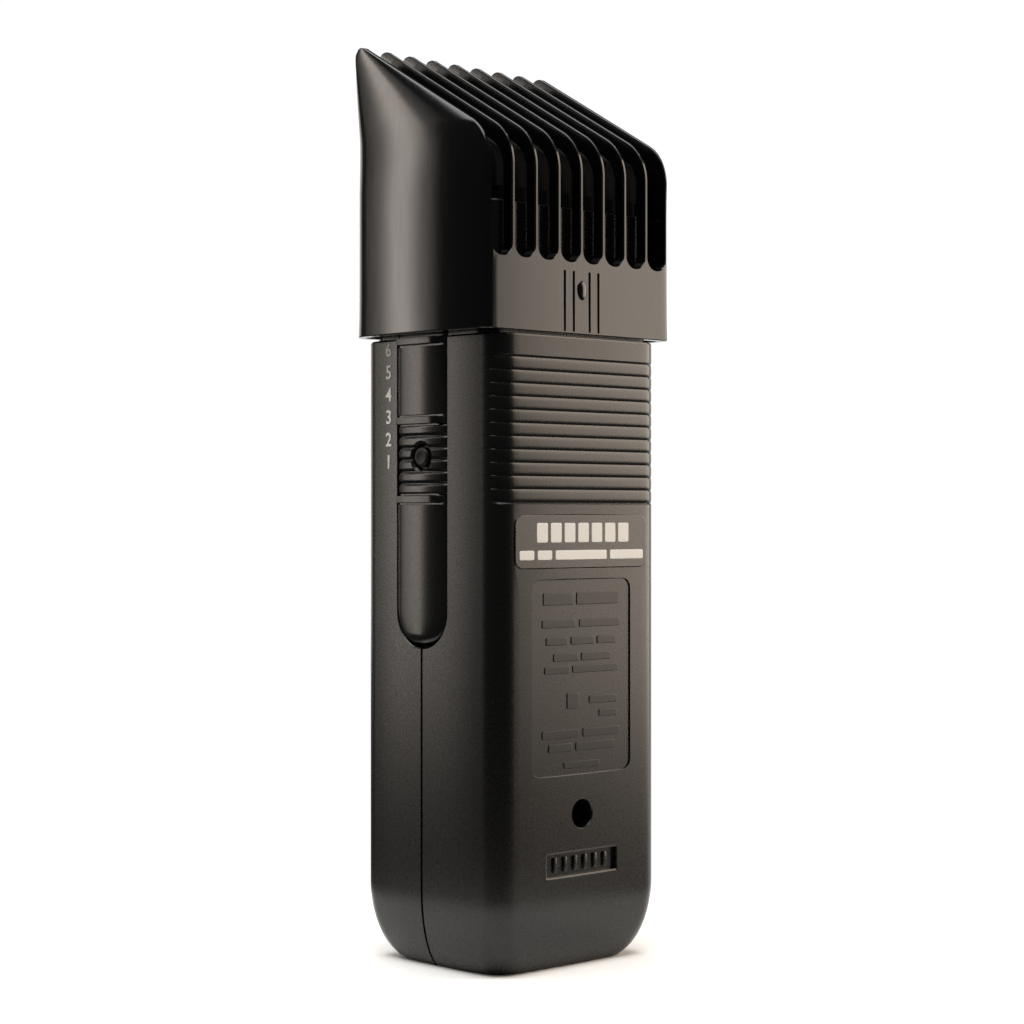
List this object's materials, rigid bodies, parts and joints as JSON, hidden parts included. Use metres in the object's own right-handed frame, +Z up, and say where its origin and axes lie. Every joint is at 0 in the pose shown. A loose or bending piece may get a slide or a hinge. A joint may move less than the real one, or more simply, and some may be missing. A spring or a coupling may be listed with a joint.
{
  "type": "hair clipper",
  "caption": "Rechargeable hair clipper with a stepped comb hood on two side arms, sprung lock buttons, thumb switch, inner motor and reciprocating blade.",
  "frame": {"origin": "bottom centre, at the base, on the plane of the housing seam and the motor", "axes": "+Z up along the handle, +Y out of the rear (label) face, -Y out of the switch face, X left-right"},
  "size_m": [0.0498, 0.0392, 0.166],
  "materials": {
    "housing_black": "satin moulded ABS, near black",
    "comb_black": "high-gloss moulded black",
    "arm_black": "satin moulded, near black",
    "button_black": "satin moulded black",
    "spring_steel": "rolled spring steel",
    "contact_brass": "stamped brass",
    "terminal_grey": "moulded switch body with tinned blades",
    "lens_red": "clear red moulded lens",
    "lamp_red": "tinted lamp body",
    "board_brown": "phenolic board",
    "transformer_iron": "lacquered core and winding",
    "capacitor_blue": "sleeved can",
    "cell_green": "shrink-sleeved cell",
    "nickel_strip": "nickel-plated strip",
    "inlet_black": "moulded inlet",
    "pin_nickel": "nickel-plated pin",
    "lead_white": "insulated lead",
    "lead_red": "insulated lead",
    "motor_steel": "drawn plated steel can",
    "cap_cream": "moulded end cap",
    "magnet_dark": "sintered ferrite",
    "armature_copper": "laminations wound with enamelled wire",
    "commutator_copper": "copper segments",
    "cam_nylon": "moulded acetal with a steel pin",
    "plate_steel": "zinc-plated plate",
    "screw_steel": "zinc-plated screw",
    "head_black": "satin moulded black",
    "blade_steel": "ground stainless steel",
    "fork_nylon": "moulded acetal",
    "label_black": "printed film, plain bars"
  },
  "bodies": {
    "housing": {"rear_housing": "housing_black", "front_housing": "housing_black", "switch_terminals": "terminal_grey", "lamp_lens": "lens_red", "charge_lamp": "lamp_red", "circuit_board": "board_brown", "transformer": "transformer_iron", "smoothing_capacitor": "capacitor_blue", "battery_cells": "cell_green", "battery_link": "nickel_strip", "battery_tabs": "nickel_strip", "inlet_socket": "inlet_black", "inlet_pins": "pin_nickel", "mains_leads": "lead_white", "motor_leads": "lead_red", "motor_can": "motor_steel", "motor_end_cap": "cap_cream", "motor_magnets": "magnet_dark", "motor_plate": "plate_steel", "motor_screws": "screw_steel", "head_base": "head_black", "blade_frame": "head_black", "fixed_blade": "blade_steel", "blade_screws": "screw_steel", "blade_spring": "spring_steel", "housing_screw": "screw_steel", "warning_label": "label_black"},
    "comb": {"comb_hood": "comb_black", "comb_arm_right": "arm_black", "comb_arm_left": "arm_black", "lock_spring_right": "spring_steel", "lock_spring_left": "spring_steel"},
    "lock_right": {"lock_button_right": "button_black"},
    "lock_left": {"lock_button_left": "button_black"},
    "power_switch": {"power_switch_knob": "button_black", "switch_contact": "contact_brass"},
    "motor_rotor": {"rotor": "armature_copper", "commutator": "commutator_copper", "eccentric_cam": "cam_nylon"},
    "cutter": {"moving_blade": "blade_steel", "drive_fork": "fork_nylon"}
  },
  "joints": [
    {"name": "comb_slide", "type": "slide", "parent": "housing", "child": "comb", "axis": [0, 0, 1], "range_m": [0, 0.108]},
    {"name": "lock_right_press", "type": "slide", "parent": "comb", "child": "lock_right", "axis": [-1, 0, 0], "range_m": [0, 0.0007], "stiffness_N_per_m": 600, "springref_m": -0.001},
    {"name": "lock_left_press", "type": "slide", "parent": "comb", "child": "lock_left", "axis": [1, 0, 0], "range_m": [0, 0.0007], "stiffness_N_per_m": 600, "springref_m": -0.001},
    {"name": "power_switch_slide", "type": "slide", "parent": "housing", "child": "power_switch", "axis": [0, 0, 1], "range_m": [0, 0.005]},
    {"name": "motor_spin", "type": "hinge", "parent": "housing", "child": "motor_rotor", "pos_m": [0, 0, 0.1], "axis": [0, 0, 1], "continuous": true},
    {"name": "cutter_slide", "type": "slide", "parent": "housing", "child": "cutter", "axis": [1, 0, 0], "range_m": [-0.001, 0.001]}
  ]
}
